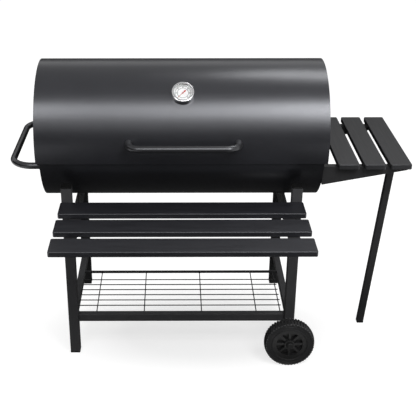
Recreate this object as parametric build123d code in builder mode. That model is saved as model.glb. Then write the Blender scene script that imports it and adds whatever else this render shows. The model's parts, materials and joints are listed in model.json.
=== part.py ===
"""Barrel charcoal grill on a four-legged trolley, with a front bench and a side table.

Millimetres, +Z up, front of the grill towards -Y, side table towards +X.
Pieces are drawn about the barrel's middle: X=0 is half its length, Y=0 is its axis, Z=0 is the floor.
"""
import os
from math import asin, cos, degrees, hypot, pi, radians, sin, sqrt

from build123d import *

os.makedirs("parts", exist_ok=True)

# Barrel
axis_height = 804
lid_radius = 246
lower_length = 980
lid_overhang = 12
sheet = 2
lid_gap = 1.5
seam_tilt = 11.2
seam_lap = 14
rear_seam_gap = 2
end_inset = 2
seat_gap = 0.1

# Trolley frame
leg_size = 36
leg_wall = 2
leg_x = 399
leg_gap = 11
leg_drop = 123
wheel_leg_bottom = 22
cap_height = 4
foot_height = 6
top_rail_size = (25, 30)
rail_clearance = 91.5
side_rail_size = (25, 28)
front_rail_size = (25, 30)
front_rail_inset = 6.5
shelf_rail_top = 162
rail_wall = 2
back_rail_size = 8
back_rail_y = 63
cradle_plate = 3
cradle_reach = 40
cradle_drop = 24

# Wire shelf
shelf_wire = 4
shelf_wire_pitch = 38
shelf_wire_count = 6
shelf_wire_z = 160
shelf_first_wire_y = -193
shelf_cross_x = (-316, -139, 75, 279, 368)
shelf_right = 375
weld_depth = 0.5

# Slats, brackets and prop leg
slat_thickness = 18.5
slat_corner = 6
slat_edge = 2.5
plate = 3
bolt_drops = (22, 50)
bench_drop = 176
bench_length = 840
bench_slat_width = 93
bench_slat_pitch = 134
bench_gap = 2.1
bench_flange = 40
bench_web_root = 68
bench_web_tip = 12
bench_web_setback = 30
table_drop = 51
table_depth = 484
table_slat_width = 74
table_slat_pitch = 90
table_gap = 48.5
table_bracket_inset = 28.5
table_flange = 25
table_web_root = 68
table_web_tip = 13
table_web_setback = 7
table_lip = 11
table_foot_width = 38
prop_size = 25
prop_inset = 20
prop_lean = 61
prop_y = -60
prop_plate = 64

# Handles
grip_tube = 24
grip_x = 5.5
grip_half = 186.5
grip_reach = 60
grip_height = 31
grip_bend = 44
push_tube = 23
push_inset = 23
push_reach = 100.5
push_height = -61.5
push_bend = 72
push_flange = 12.4
push_flange_thickness = 3

# Hinges and lid hardware
hinge_offset = 8
hinge_knuckle = 7
hinge_pin = 3
hinge_x = 300
hinge_middle = 24
hinge_side = 18
hinge_gap = 0.5
hinge_leaf = 2
running_gap = 0.05

# Thermometer
gauge_angle = 133.4
gauge_x = 3.7
gauge_radius = 38
gauge_lip = 7
gauge_depth = 20
cup_radius = 36
cup_wall = 1.5
stem_radius = 3
stem_length = 100
needle_length = 24
needle_rest = 135
pivot_radius = 1.2

# Fire and food grates
grate_drop = 75
grate_bar = 5
grate_frame = 7
grate_pitch = 20
grate_split = 64
ledge_size = 18
coal_drop = 150
coal_bar = 7
coal_rod = 9
coal_pitch = 32

# Air dampers
damper_radius = 46
damper_hole = 13
damper_ring = 27
damper_gap = 0.3
damper_rivet = 4
intake_drop = 125
exhaust_rise = 120

# Wheel
wheel_radius = 92
tyre_width = 42
tyre_crown = 4.5
tyre_lug = 3
lug_count = 48
rim_radius = 63
rim_width = 36
rim_wall = 15
hub_radius = 19
hub_width = 46
spoke_count = 8
spoke_width = 9
axle_radius = 6
axle_sleeve = 11
wheel_x = 393
wheel_reach = 83.5

# Fasteners
bolt_radius = 4
bolt_head = 7
bolt_head_height = 4.5
bracket_bolt_length = 13
screw_radius = 2.5
screw_head = 5
screw_head_height = 2.5
screw_depth = 10
hole_gap = 0.1

# Worked out from the sizes above
lid_inner = lid_radius - sheet
lower_radius = lid_inner - lid_gap
lower_inner = lower_radius - sheet
lap_angle = degrees(seam_lap / lower_radius)
rear_gap_angle = degrees(rear_seam_gap / lower_radius)
hinge_radius = lid_radius + hinge_offset
lid_length = lower_length + 2 * lid_overhang
leg_y = lower_radius + leg_gap
leg_rear = leg_y + leg_size / 2
leg_top = axis_height - leg_drop
top_rail_top = axis_height - lower_radius - rail_clearance
cradle_bottom = top_rail_top - cradle_drop
front_rail_y = front_rail_inset - leg_y
wheel_y = -leg_y - wheel_reach
push_half = lower_radius - push_inset
push_end = lower_length / 2 + push_reach + push_tube / 2
bench_top = axis_height - bench_drop
bench_back = -leg_rear - bench_gap
bench_front = bench_back - 2 * bench_slat_pitch - bench_slat_width
table_top = axis_height - table_drop
table_bracket_y = lower_radius - table_bracket_inset
table_left = lower_length / 2 + table_gap
table_right = table_left + 2 * table_slat_pitch + table_slat_width
prop_x = table_right - prop_inset
prop_foot_x = prop_x - prop_lean
to_frame = Location(((push_end - table_right) / 2, -(bench_front + leg_rear) / 2, 0))


def rim(radius, angle):
    """Y and Z of a point about the barrel's axis: 0 degrees is the rear, 90 the top, 180 the front."""
    return radius * cos(radians(angle)), axis_height + radius * sin(radians(angle))


def save(piece, name):
    """Puts a finished piece in the part's frame and writes it."""
    placed = piece.moved(to_frame)
    placed.label = name
    export_step(placed, f"parts/{name}.step")


def curved_sheet(inner, outer, start, sweep, x_low, x_high):
    """A strip of sheet rolled about the barrel's axis."""
    with BuildPart() as strip:
        with BuildSketch(Plane.YZ.offset(x_low)):
            with BuildLine():
                outside = CenterArc((0, axis_height), outer, start, sweep)
                inside = CenterArc((0, axis_height), inner, start, sweep)
                Line(outside @ 0, inside @ 0)
                Line(outside @ 1, inside @ 1)
            make_face()
        extrude(amount=x_high - x_low)
    return strip.part


def end_plate(radius, start, sweep, x_low):
    """A flat end of the barrel: a disc cut off along the seam."""
    with BuildPart() as disc:
        with BuildSketch(Plane.YZ.offset(x_low)):
            with BuildLine():
                edge = CenterArc((0, axis_height), radius, start, sweep)
                Line(edge @ 1, edge @ 0)
            make_face()
        extrude(amount=sheet)
    return disc.part


def square_tube(width, height, wall, length, plane):
    """A hollow rectangular tube that starts on a plane and runs along its normal."""
    with BuildPart() as tube:
        with BuildSketch(plane):
            RectangleRounded(width, height, wall)
            Rectangle(width - 2 * wall, height - 2 * wall, mode=Mode.SUBTRACT)
        extrude(amount=length)
    return tube.part


def headed_pins(places, head, head_height, shank, shank_length):
    """Separate bolts or screws: a hexagon head outside each place and a shank going in."""
    with BuildPart() as pins:
        with BuildSketch(*places):
            RegularPolygon(head, 6)
        extrude(amount=head_height)
        with Locations(*places):
            Cylinder(shank, shank_length, align=(Align.CENTER, Align.CENTER, Align.MAX))
    return pins.part


# Lower half of the barrel
lower_start = 180 + seam_tilt - lap_angle
lower_sweep = 180 + lap_angle - rear_gap_angle
lower_end = lower_length / 2
end_radius = lower_inner - seat_gap
lap_rise = degrees(asin(seam_lap / end_radius))
push_places = [
    Plane((-lower_end, side * push_half, axis_height + push_height), x_dir=(0, 1, 0), z_dir=(-1, 0, 0))
    for side in (-1, 1)
]
table_bolt_y = table_bracket_y - table_foot_width / 2
table_under = table_top - slat_thickness
table_bolt_z = [table_under - drop for drop in bolt_drops]
table_bolt_places = [
    Plane((lower_end + plate, side * table_bolt_y, z), x_dir=(0, 1, 0), z_dir=(1, 0, 0))
    for side in (-1, 1)
    for z in table_bolt_z
]
intake_place = Plane((-lower_end, 0, axis_height - intake_drop), x_dir=(0, 1, 0), z_dir=(-1, 0, 0))

lower_shell = curved_sheet(lower_inner, lower_radius, lower_start, lower_sweep, -lower_end, lower_end)
save(lower_shell, "lower_shell")

with BuildPart() as lower_end_left:
    add(end_plate(end_radius, 180 + seam_tilt - lap_rise, 180 + 2 * lap_rise, -lower_end))
    with Locations(*push_places):
        Hole(bolt_radius + hole_gap, 2 * sheet)
    with Locations(intake_place):
        Hole(damper_rivet + hole_gap, 2 * sheet)
        with PolarLocations(damper_ring, 3):
            Hole(damper_hole, 2 * sheet)
save(lower_end_left.part, "lower_end_left")

with BuildPart() as lower_end_right:
    add(end_plate(end_radius, 180 + seam_tilt - lap_rise, 180 + 2 * lap_rise, lower_end - sheet))
    with Locations(*table_bolt_places):
        Hole(bolt_radius + hole_gap, 4 * plate)
save(lower_end_right.part, "lower_end_right")

# Lid
lid_end = lid_length / 2
gauge_plane = Plane(
    (gauge_x, *rim(lid_radius, gauge_angle)),
    x_dir=(1, 0, 0),
    z_dir=(0, cos(radians(gauge_angle)), sin(radians(gauge_angle))),
)
grip_z = axis_height + grip_height
grip_seat = -sqrt(lid_radius**2 - grip_height**2)
grip_bolt_seat = -sqrt(lid_inner**2 - grip_height**2)
grip_places = [
    Plane((grip_x + side * grip_half, grip_bolt_seat + 1, grip_z), x_dir=(1, 0, 0), z_dir=(0, 1, 0))
    for side in (-1, 1)
]
exhaust_place = Plane((lid_end - end_inset, 0, axis_height + exhaust_rise), x_dir=(0, 1, 0), z_dir=(1, 0, 0))

with BuildPart() as lid_shell:
    add(curved_sheet(lid_inner, lid_radius, seam_tilt, 180, -lid_end, lid_end))
    with Locations(gauge_plane):
        Hole(stem_radius + hole_gap, 4 * sheet)
    with Locations(*grip_places):
        Hole(bolt_radius + hole_gap, 8 * sheet)
save(lid_shell.part, "lid_shell")

lid_plate_radius = lid_inner - seat_gap
lid_end_left = end_plate(lid_plate_radius, seam_tilt, 180, -lid_end + end_inset)
save(lid_end_left, "lid_end_left")

with BuildPart() as lid_end_right:
    add(end_plate(lid_plate_radius, seam_tilt, 180, lid_end - end_inset - sheet))
    with Locations(exhaust_place):
        Hole(damper_rivet + hole_gap, 2 * sheet)
        with PolarLocations(damper_ring, 3):
            Hole(damper_hole, 2 * sheet)
save(lid_end_right.part, "lid_end_right")

# Lid handle: a bent tube on two bolts
grip_left = grip_x - grip_half
grip_right = grip_x + grip_half
with BuildPart() as lid_handle:
    with BuildLine():
        FilletPolyline(
            (grip_left, grip_seat + grip_tube, grip_z),
            (grip_left, grip_seat - grip_reach, grip_z),
            (grip_right, grip_seat - grip_reach, grip_z),
            (grip_right, grip_seat + grip_tube, grip_z),
            radius=grip_bend,
        )
    with BuildSketch(Plane((grip_left, grip_seat + grip_tube, grip_z), z_dir=(0, -1, 0))):
        Circle(grip_tube / 2)
    sweep()
    with Locations((0, 0, axis_height)):
        Cylinder(lid_radius + seat_gap, lid_length, rotation=(0, 90, 0), mode=Mode.SUBTRACT)
    with Locations(*grip_places):
        Hole(bolt_radius + hole_gap, grip_tube + 4 * sheet)
save(lid_handle.part, "lid_handle")
save(
    headed_pins(grip_places, bolt_head, bolt_head_height, bolt_radius, grip_tube + 2 * sheet),
    "lid_handle_bolts",
)

# Push handle: a bent tube with welded flanges, bolted to the left end
push_x = -lower_end - push_reach
push_z = axis_height + push_height
with BuildPart() as push_handle:
    with BuildLine():
        FilletPolyline(
            (-lower_end, -push_half, push_z),
            (push_x, -push_half, push_z),
            (push_x, push_half, push_z),
            (-lower_end, push_half, push_z),
            radius=push_bend,
        )
    with BuildSketch(push_places[0]):
        Circle(push_tube / 2)
    sweep()
    with Locations(*push_places):
        Cylinder(push_flange, push_flange_thickness, align=(Align.CENTER, Align.CENTER, Align.MIN))
        with Locations((0, 0, push_tube)):
            Hole(bolt_radius + hole_gap, 2 * push_tube)
save(push_handle.part, "push_handle")
push_bolt_places = [
    Plane((-lower_end + sheet, side * push_half, push_z), x_dir=(0, 1, 0), z_dir=(1, 0, 0))
    for side in (-1, 1)
]
save(
    headed_pins(push_bolt_places, bolt_head, bolt_head_height, bolt_radius, push_tube + sheet),
    "push_handle_bolts",
)

# Hinges at the rear seam
hinge_y, hinge_z = rim(hinge_radius, seam_tilt)
leaf_half = hinge_middle / 2 + hinge_gap + hinge_side
knuckle_angle = degrees(hinge_knuckle / hinge_radius)


def knuckle(x_low, x_high):
    """One eye of a hinge, bored for the pin."""
    with BuildPart() as eye:
        with BuildSketch(Plane.YZ.offset(x_low)):
            with Locations((hinge_y, hinge_z)):
                Circle(hinge_knuckle)
                Circle(hinge_pin + running_gap, mode=Mode.SUBTRACT)
        extrude(amount=x_high - x_low)
    return eye.part


def pin_hole(x):
    """The clear bore that is cut through the leaves along the hinge axis."""
    with BuildPart() as bore:
        with Locations((x, hinge_y, hinge_z)):
            Cylinder(hinge_pin + running_gap, 4 * leaf_half, rotation=(0, 90, 0))
    return bore.part


leaf_in = lid_radius + seat_gap
leaf_out = leaf_in + hinge_leaf
low_in = lower_radius + seat_gap
tab = hinge_middle / 2
with BuildPart() as hinge_upper_leaves:
    for x in (-hinge_x, hinge_x):
        add(knuckle(x - tab, x + tab))
        add(curved_sheet(leaf_in, leaf_out, seam_tilt, 1.5 * knuckle_angle, x - tab, x + tab))
        add(curved_sheet(leaf_in, leaf_out, seam_tilt + 1.4 * knuckle_angle, 8, x - leaf_half, x + leaf_half))
        add(pin_hole(x), mode=Mode.SUBTRACT)
save(hinge_upper_leaves.part, "hinge_upper_leaves")

with BuildPart() as hinge_lower_leaves:
    for x in (-hinge_x, hinge_x):
        add(curved_sheet(low_in, low_in + hinge_leaf, seam_tilt - 10, 10 - 1.5 * knuckle_angle,
                         x - leaf_half, x + leaf_half))
        for low in (x - leaf_half, x + tab + hinge_gap):
            add(knuckle(low, low + hinge_side))
            add(curved_sheet(low_in, hinge_radius, seam_tilt - 2 * knuckle_angle, 1.2 * knuckle_angle,
                             low, low + hinge_side))
        add(pin_hole(x), mode=Mode.SUBTRACT)
save(hinge_lower_leaves.part, "hinge_lower_leaves")

with BuildPart() as hinge_pins:
    with Locations((-hinge_x, hinge_y, hinge_z), (hinge_x, hinge_y, hinge_z)):
        Cylinder(hinge_pin, 2 * leaf_half + 1, rotation=(0, 90, 0))
        with Locations((-leaf_half - 1.5, 0, 0), (leaf_half + 1.5, 0, 0)):
            Cylinder(hinge_pin + 2, 2, rotation=(0, 90, 0))
save(hinge_pins.part, "hinge_pins")

# Thermometer on the lid front
bezel_start = 3
glass_seat = gauge_depth - 4
with BuildPart(gauge_plane) as gauge_cup:
    Cylinder(cup_radius, glass_seat + 4, align=(Align.CENTER, Align.CENTER, Align.MIN))
    with Locations((0, 0, glass_seat)):
        Cylinder(cup_radius + 1, 8, align=(Align.CENTER, Align.CENTER, Align.MIN), mode=Mode.SUBTRACT)
    with Locations((0, 0, 4)):
        Cylinder(cup_radius - cup_wall, gauge_depth, align=(Align.CENTER, Align.CENTER, Align.MIN),
                 mode=Mode.SUBTRACT)
    with Locations((0, 0, 4)):
        Cylinder(8, 4, align=(Align.CENTER, Align.CENTER, Align.MIN))
    with Locations((0, 0, 0)):
        Cylinder(cup_radius, 6, align=(Align.CENTER, Align.CENTER, Align.MAX))
    with Locations((0, 0, -lid_radius)):
        Cylinder(lid_radius + seat_gap, 4 * cup_radius, rotation=(0, 90, 0), mode=Mode.SUBTRACT)
    Cylinder(stem_radius + hole_gap, 4 * gauge_depth, mode=Mode.SUBTRACT)
save(gauge_cup.part, "thermometer_cup")

with BuildPart(gauge_plane) as gauge_bezel:
    with Locations((0, 0, bezel_start)):
        Cylinder(gauge_radius, gauge_depth - bezel_start, align=(Align.CENTER, Align.CENTER, Align.MIN))
    fillet(gauge_bezel.edges().group_by(Axis(gauge_plane.origin, gauge_plane.z_dir))[-1], 3)
    Cylinder(cup_radius + seat_gap, glass_seat + 2, align=(Align.CENTER, Align.CENTER, Align.MIN),
             mode=Mode.SUBTRACT)
    Cylinder(gauge_radius - gauge_lip, 2 * gauge_depth, align=(Align.CENTER, Align.CENTER, Align.MIN),
             mode=Mode.SUBTRACT)
save(gauge_bezel.part, "thermometer_bezel")

with BuildPart(gauge_plane) as gauge_glass:
    with Locations((0, 0, glass_seat)):
        Cylinder(cup_radius, 2, align=(Align.CENTER, Align.CENTER, Align.MIN))
save(gauge_glass.part, "thermometer_glass")

dial_seat = 8
with BuildPart(gauge_plane) as gauge_dial:
    with Locations((0, 0, dial_seat)):
        Cylinder(cup_radius - cup_wall - 0.5, 1, align=(Align.CENTER, Align.CENTER, Align.MIN))
    Cylinder(pivot_radius + hole_gap, 4 * gauge_depth, mode=Mode.SUBTRACT)
save(gauge_dial.part, "thermometer_dial")

with BuildPart(gauge_plane) as gauge_stem:
    with Locations((0, 0, dial_seat - 1)):
        Cylinder(stem_radius, stem_length + dial_seat - 1, align=(Align.CENTER, Align.CENTER, Align.MAX))
    with Locations((0, 0, dial_seat - 1)):
        Cylinder(pivot_radius, 6, align=(Align.CENTER, Align.CENTER, Align.MIN))
save(gauge_stem.part, "thermometer_stem")

with BuildPart(gauge_plane) as gauge_nut:
    with BuildSketch(gauge_plane.offset(-sheet - 0.3)):
        RegularPolygon(10, 6)
        Circle(stem_radius + running_gap, mode=Mode.SUBTRACT)
    extrude(amount=-6)
save(gauge_nut.part, "thermometer_nut")

needle_seat = dial_seat + 2
with BuildPart(gauge_plane) as needle:
    with BuildSketch(gauge_plane.offset(needle_seat)):
        with BuildLine():
            Polyline((-1, -9), (1, -9), (0.5, needle_length), (-0.5, needle_length), close=True)
        make_face()
        Circle(3)
        with Locations((0, -9)):
            Ellipse(2.7, 5)
        Circle(pivot_radius + running_gap, mode=Mode.SUBTRACT)
    extrude(amount=1)
save(needle.part.rotate(Axis(gauge_plane.origin, gauge_plane.z_dir), needle_rest), "thermometer_needle")

# Grates
grate_top_z = axis_height - grate_drop
ledge_z = grate_top_z - grate_frame
ledge_wall = sqrt(lower_inner**2 - (axis_height - ledge_z) ** 2)
grate_half = ledge_wall - 4
ledge_length = lower_length - 2 * sheet - 2
with BuildPart() as grate_ledges:
    with BuildSketch(Plane.YZ.offset(-ledge_length / 2)):
        for side, edge in ((-1, Align.MIN), (1, Align.MAX)):
            with Locations((side * (ledge_wall + 3), ledge_z)):
                Rectangle(ledge_size, plate, align=(edge, Align.MAX))
                Rectangle(2 * plate, ledge_size, align=(edge, Align.MAX))
    extrude(amount=ledge_length)
    with Locations((0, 0, axis_height)):
        Cylinder(lower_inner - seat_gap, lower_length, rotation=(0, 90, 0), mode=Mode.INTERSECT)
save(grate_ledges.part, "grate_ledges")

grate_length = (ledge_length - grate_split) / 2 - 3
bar_count = int(grate_length / grate_pitch) - 1
for grate_name, side in (("left", -1), ("right", 1)):
    centre = side * (grate_length + grate_split) / 2
    with BuildPart() as grate:
        with Locations((centre, -grate_half + grate_frame / 2, ledge_z + grate_frame / 2),
                       (centre, grate_half - grate_frame / 2, ledge_z + grate_frame / 2)):
            Box(grate_length, grate_frame, grate_frame)
        with Locations((centre - grate_length / 2 + grate_frame / 2, 0, ledge_z + grate_frame / 2),
                       (centre + grate_length / 2 - grate_frame / 2, 0, ledge_z + grate_frame / 2)):
            Box(grate_frame, 2 * grate_half, grate_frame)
        with Locations((centre, 0, ledge_z + grate_frame / 2)):
            with GridLocations(grate_pitch, 0, bar_count, 1):
                Cylinder(grate_bar / 2, 2 * grate_half - grate_frame, rotation=(90, 0, 0))
    save(grate.part, f"cooking_grate_{grate_name}")

coal_z = axis_height - coal_drop
coal_half = sqrt(lower_inner**2 - (coal_drop + coal_bar) ** 2) - 0.3
coal_length = ledge_length - 40
with BuildPart() as coal_grate:
    with Locations((0, 0, coal_z - coal_bar / 2)):
        with GridLocations(coal_pitch, 0, int(coal_length / coal_pitch), 1):
            Cylinder(coal_bar / 2, 2 * coal_half, rotation=(90, 0, 0))
    with Locations((0, -0.6 * coal_half, coal_z - coal_bar - coal_rod / 2 + 2),
                   (0, 0.6 * coal_half, coal_z - coal_bar - coal_rod / 2 + 2)):
        Cylinder(coal_rod / 2, coal_length, rotation=(0, 90, 0))
save(coal_grate.part, "charcoal_grate")

# Air dampers
def damper(place):
    """A disc with three holes and a lifted tab, which turns on a rivet."""
    with BuildPart() as disc:
        with BuildSketch(place.offset(damper_gap)):
            Circle(damper_radius)
            Circle(damper_rivet + running_gap, mode=Mode.SUBTRACT)
            with PolarLocations(damper_ring, 3):
                Circle(damper_hole, mode=Mode.SUBTRACT)
        extrude(amount=sheet)
        with BuildSketch(place.offset(damper_gap + sheet)):
            with Locations((0, damper_radius - 4)):
                Rectangle(18, sheet)
        extrude(amount=10)
    return disc.part


def rivet(place):
    """The damper's pivot: a pin through the end with a head on each side."""
    with BuildPart() as pin:
        with BuildSketch(place.offset(-sheet - 2)):
            Circle(damper_rivet + 4)
        extrude(amount=2)
        with BuildSketch(place.offset(-sheet - 1)):
            Circle(damper_rivet)
        extrude(amount=2 * sheet + 2)
        with BuildSketch(place.offset(sheet + 2 * damper_gap)):
            Circle(damper_rivet + 4)
        extrude(amount=2)
    return pin.part


for vent_name, vent_place in (("intake", intake_place), ("exhaust", exhaust_place)):
    save(damper(vent_place), f"{vent_name}_damper")
    save(rivet(vent_place), f"{vent_name}_rivet")

# Legs with their caps and feet
axle_bore = Plane((wheel_x, -leg_y - leg_size, wheel_radius), x_dir=(1, 0, 0), z_dir=(0, -1, 0))
bench_bolt_z = [bench_top - slat_thickness - drop for drop in bolt_drops]
bench_bolt_places = [
    Plane((side * (leg_x - leg_size / 2 - plate), -leg_y, z), x_dir=(0, 1, 0), z_dir=(-side, 0, 0))
    for side in (-1, 1)
    for z in bench_bolt_z
]
for row_name, row in (("front", -1), ("rear", 1)):
    for side_name, side in (("left", -1), ("right", 1)):
        on_wheel = row < 0 < side
        bottom = wheel_leg_bottom if on_wheel else foot_height
        foot_plane = Plane((side * leg_x, row * leg_y, bottom))
        with BuildPart() as leg:
            add(square_tube(leg_size, leg_size, leg_wall, leg_top - cap_height - bottom, foot_plane))
            if on_wheel:
                with Locations(axle_bore):
                    Hole(axle_radius + hole_gap, 3 * leg_size)
            if row < 0:
                with Locations(*[place for place in bench_bolt_places if place.origin.X * side > 0]):
                    Hole(bolt_radius + hole_gap, 2 * plate + leg_wall)
        save(leg.part, f"leg_{row_name}_{side_name}")

plug = leg_size - 2 * leg_wall - 2 * hole_gap
leg_spots = [(side * leg_x, row * leg_y) for side in (-1, 1) for row in (-1, 1)]
with BuildPart() as leg_caps:
    with Locations(*[(x, y, leg_top - cap_height) for x, y in leg_spots]):
        Box(leg_size, leg_size, cap_height, align=(Align.CENTER, Align.CENTER, Align.MIN))
    chamfer(leg_caps.edges().group_by(Axis.Z)[-1], 1)
    with Locations(*[(x, y, leg_top - cap_height) for x, y in leg_spots]):
        Box(plug, plug, 12, align=(Align.CENTER, Align.CENTER, Align.MAX))
save(leg_caps.part, "leg_caps")

prop_plug = prop_size - 2 * leg_wall - 2
foot_spots = [(x, y) for x, y in leg_spots if x < 0 or y > 0]
with BuildPart() as feet:
    with Locations(*[(x, y, 0) for x, y in foot_spots]):
        Box(leg_size, leg_size, foot_height, align=(Align.CENTER, Align.CENTER, Align.MIN))
    with Locations((prop_foot_x, prop_y, 0)):
        Box(prop_size, prop_size, foot_height, align=(Align.CENTER, Align.CENTER, Align.MIN))
    chamfer(feet.edges().group_by(Axis.Z)[0], 1.5)
    with Locations(*[(x, y, foot_height) for x, y in foot_spots]):
        Box(plug, plug, 14, align=(Align.CENTER, Align.CENTER, Align.MIN))
    with Locations((prop_foot_x, prop_y, foot_height)):
        Box(prop_plug, prop_plug, 8, align=(Align.CENTER, Align.CENTER, Align.MIN))
save(feet.part, "feet")

# Rails between the legs
rail_run = 2 * leg_y - leg_size
for side_name, side in (("left", -1), ("right", 1)):
    for rail_name, (width, height), top in (
        ("top_rail", top_rail_size, top_rail_top),
        ("side_rail", side_rail_size, shelf_rail_top),
    ):
        start = Plane((side * leg_x, -rail_run / 2, top - height / 2), x_dir=(1, 0, 0), z_dir=(0, 1, 0))
        save(square_tube(width, height, rail_wall, rail_run, start), f"{rail_name}_{side_name}")

cradle_x = leg_x - top_rail_size[0] / 2
with BuildPart() as cradles:
    with BuildSketch(Plane.YZ.offset(-cradle_x), Plane.YZ.offset(cradle_x - cradle_plate)):
        with Locations((0, cradle_bottom)):
            Rectangle(2 * cradle_reach, axis_height - cradle_bottom - lower_radius / 2,
                      align=(Align.CENTER, Align.MIN))
        with Locations((0, axis_height)):
            Circle(lower_radius + seat_gap, mode=Mode.SUBTRACT)
    extrude(amount=cradle_plate)
save(cradles.part, "cradles")

front_run = 2 * leg_x - leg_size
front_width, front_height = front_rail_size
front_start = Plane((-front_run / 2, front_rail_y, shelf_rail_top - front_height / 2),
                    x_dir=(0, 1, 0), z_dir=(1, 0, 0))
save(square_tube(front_width, front_height, rail_wall, front_run, front_start), "shelf_front_rail")

back_run = 2 * leg_x - side_rail_size[0]
with BuildPart() as back_rail:
    with Locations((0, back_rail_y, shelf_rail_top - back_rail_size / 2)):
        Box(back_run, back_rail_size, back_rail_size)
save(back_rail.part, "shelf_back_rail")

# Wire shelf: long wires on cross wires, which are welded between the two shelf rails
cross_front = front_rail_y + front_width / 2 + seat_gap
cross_back = back_rail_y - back_rail_size / 2 - seat_gap
cross_z = shelf_wire_z - shelf_wire + weld_depth
shelf_left = side_rail_size[0] / 2 + seat_gap - leg_x
with BuildPart() as wire_shelf:
    for x in shelf_cross_x:
        with Locations((x, (cross_front + cross_back) / 2, cross_z)):
            Cylinder(shelf_wire / 2, cross_back - cross_front, rotation=(90, 0, 0))
    for row in range(shelf_wire_count):
        y = shelf_first_wire_y + row * shelf_wire_pitch
        with Locations(((shelf_left + shelf_right) / 2, y, shelf_wire_z)):
            Cylinder(shelf_wire / 2, shelf_right - shelf_left, rotation=(0, 90, 0))
save(wire_shelf.part, "wire_shelf")

# Front bench
bench_under = bench_top - slat_thickness
bench_tip = bench_front + bench_web_setback
bench_root = -leg_y + leg_size / 2
bench_face = leg_x - leg_size / 2
bench_slat_rows = [bench_back - bench_slat_width / 2 - row * bench_slat_pitch for row in range(3)]
bench_screw_places = [
    Plane((side * (bench_face - bench_flange + 12), y + offset, bench_under - plate), z_dir=(0, 0, -1))
    for side in (-1, 1)
    for y in bench_slat_rows
    for offset in (-20, 20)
]


def slat(length, width, centre, screw_places):
    """A board with rounded corners and softened edges, drilled from below."""
    with BuildPart() as board:
        with BuildSketch(Plane(centre)):
            RectangleRounded(length, width, slat_corner)
        extrude(amount=-slat_thickness)
        top_and_bottom = board.faces().sort_by(Axis.Z)
        fillet(top_and_bottom[-1].edges() + top_and_bottom[0].edges(), slat_edge)
        with Locations(*screw_places):
            Hole(screw_radius + hole_gap, plate + screw_depth)
    return board.part


for slat_name, y in zip(("back", "middle", "front"), bench_slat_rows):
    near = [place for place in bench_screw_places if abs(place.origin.Y - y) < bench_slat_width / 2]
    save(slat(bench_length, bench_slat_width, (0, y, bench_top), near), f"bench_slat_{slat_name}")

for side_name, side in (("left", -1), ("right", 1)):
    outer = side * bench_face
    inner = side * (bench_face - plate)
    with BuildPart() as bracket:
        with BuildSketch(Plane.YZ.offset(min(outer, inner))):
            with BuildLine():
                Polyline(
                    (bench_root, bench_under),
                    (bench_tip, bench_under),
                    (bench_tip, bench_under - bench_web_tip),
                    (bench_root - leg_size, bench_under - bench_web_root),
                    (bench_root, bench_under - bench_web_root),
                    close=True,
                )
            make_face()
        extrude(amount=plate)
        with Locations((side * (bench_face - bench_flange / 2), (bench_tip - leg_y - leg_size / 2) / 2,
                        bench_under - plate / 2)):
            Box(bench_flange, -bench_tip - leg_y - leg_size / 2, plate)
        with Locations(*[place for place in bench_screw_places if place.origin.X * side > 0]):
            Hole(screw_radius + hole_gap, 2 * plate)
        with Locations(*[place for place in bench_bolt_places if place.origin.X * side > 0]):
            Hole(bolt_radius + hole_gap, 2 * plate)
    save(bracket.part, f"bench_bracket_{side_name}")

# Side table
table_slat_x = [table_left + table_slat_width / 2 + row * table_slat_pitch for row in range(3)]
table_screw_y = table_bracket_y - table_flange / 2
table_screw_places = [
    Plane((x + offset, side * table_screw_y, table_under - plate), z_dir=(0, 0, -1))
    for side in (-1, 1)
    for x in table_slat_x
    for offset in (-18, 18)
]
prop_screw_places = [
    Plane((prop_x + prop_size / 2 - prop_plate + 9, prop_y + offset, table_under - plate), z_dir=(0, 0, -1))
    for offset in (-20, 20)
]
all_table_screws = table_screw_places + prop_screw_places
for slat_name, x in zip(("inner", "middle", "outer"), table_slat_x):
    near = [place for place in all_table_screws if abs(place.origin.X - x) < table_slat_width / 2]
    save(slat(table_slat_width, table_depth, (x, 0, table_top), near), f"table_slat_{slat_name}")

table_tip = table_right - table_web_setback
for bracket_name, side in (("front", -1), ("rear", 1)):
    face = side * table_bracket_y
    web_low = face if side < 0 else face - plate
    with BuildPart() as bracket:
        with BuildSketch(Plane.XZ.offset(-web_low)):
            with BuildLine():
                Polyline(
                    (lower_end, table_under),
                    (table_tip, table_under),
                    (table_tip, table_under - table_web_tip),
                    (lower_end + plate, table_under - table_web_root),
                    (lower_end, table_under - table_web_root),
                    close=True,
                )
            make_face()
        extrude(amount=-plate)
        with BuildSketch(Plane.XZ.offset(-face)):
            with BuildLine():
                Polyline(
                    (lower_end + plate, table_under - table_web_root),
                    (table_tip, table_under - table_web_tip),
                    (table_tip, table_under - table_web_tip + plate),
                    (lower_end + plate, table_under - table_web_root + plate),
                    close=True,
                )
            make_face()
        extrude(amount=side * table_lip)
        with Locations(((lower_end + table_tip) / 2, face - side * table_flange / 2,
                        table_under - plate / 2)):
            Box(table_tip - lower_end, table_flange, plate)
        with Locations((lower_end + plate / 2, face - side * table_foot_width / 2,
                        table_under - table_web_root / 2)):
            Box(plate, table_foot_width, table_web_root)
        with Locations(*[place for place in table_screw_places if place.origin.Y * side > 0]):
            Hole(screw_radius + hole_gap, 2 * plate)
        with Locations(*[place for place in table_bolt_places if place.origin.Y * side > 0]):
            Hole(bolt_radius + hole_gap, 2 * plate)
    save(bracket.part, f"table_bracket_{bracket_name}")

# The same screw holds every slat, and the same bolt both kinds of bracket
save(headed_pins(bench_screw_places + all_table_screws, screw_head, screw_head_height, screw_radius,
                 plate + screw_depth - 1), "slat_screws")
save(headed_pins(bench_bolt_places + table_bolt_places, bolt_head, bolt_head_height, bolt_radius,
                 bracket_bolt_length), "bracket_bolts")

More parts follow.
